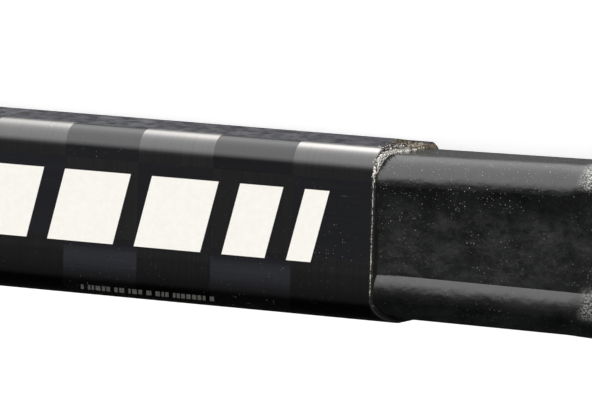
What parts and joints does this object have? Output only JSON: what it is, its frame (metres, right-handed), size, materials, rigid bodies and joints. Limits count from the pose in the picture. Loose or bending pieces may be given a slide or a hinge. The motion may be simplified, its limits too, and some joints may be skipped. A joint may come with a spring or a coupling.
{
  "type": "ice hockey stick",
  "caption": "Ice hockey stick: hollow rectangular carbon shaft, a fused blade with foam core and curved face, taped grip and blade, and a pull-out butt end plug.",
  "frame": {"origin": "bottom centre of the whole stick's bounding box, as it lies with its backhand face down", "axes": "+X from the butt towards the blade along the shaft, +Y towards the blade's toe side, +Z out of the forehand face"},
  "size_m": [1.7278, 0.2634, 0.0292],
  "materials": {
    "shaft_carbon": "spread-tow carbon under a glossy clear coat",
    "hosel_carbon": "black painted carbon, glossy, slightly uneven and dusty",
    "blade_carbon": "black satin carbon",
    "core_foam": "rigid foam",
    "joint_resin": "cured epoxy",
    "plug_plastic": "moulded plastic",
    "grip_tape": "white cotton cloth tape",
    "blade_tape": "black cotton cloth tape"
  },
  "bodies": {
    "stick": {"shaft_tube": "shaft_carbon", "shaft_foam_stop": "core_foam", "knob_winding": "grip_tape", "grip_tape": "grip_tape", "blade_hosel": "hosel_carbon", "hosel_core": "core_foam", "joint_adhesive": "joint_resin", "joint_resin_bead": "joint_resin", "blade_forehand_skin": "blade_carbon", "blade_backhand_skin": "blade_carbon", "blade_edge_rim": "blade_carbon", "blade_core_upper": "core_foam", "blade_core_lower": "core_foam", "blade_bridge_rib": "blade_carbon", "blade_tape": "blade_tape"},
    "butt_plug": {"butt_end_plug": "plug_plastic"}
  },
  "joints": [
    {"name": "butt_plug_pull", "type": "slide", "parent": "stick", "child": "butt_plug", "axis": [-1, 0, 0], "range_m": [0, 0.075]}
  ]
}
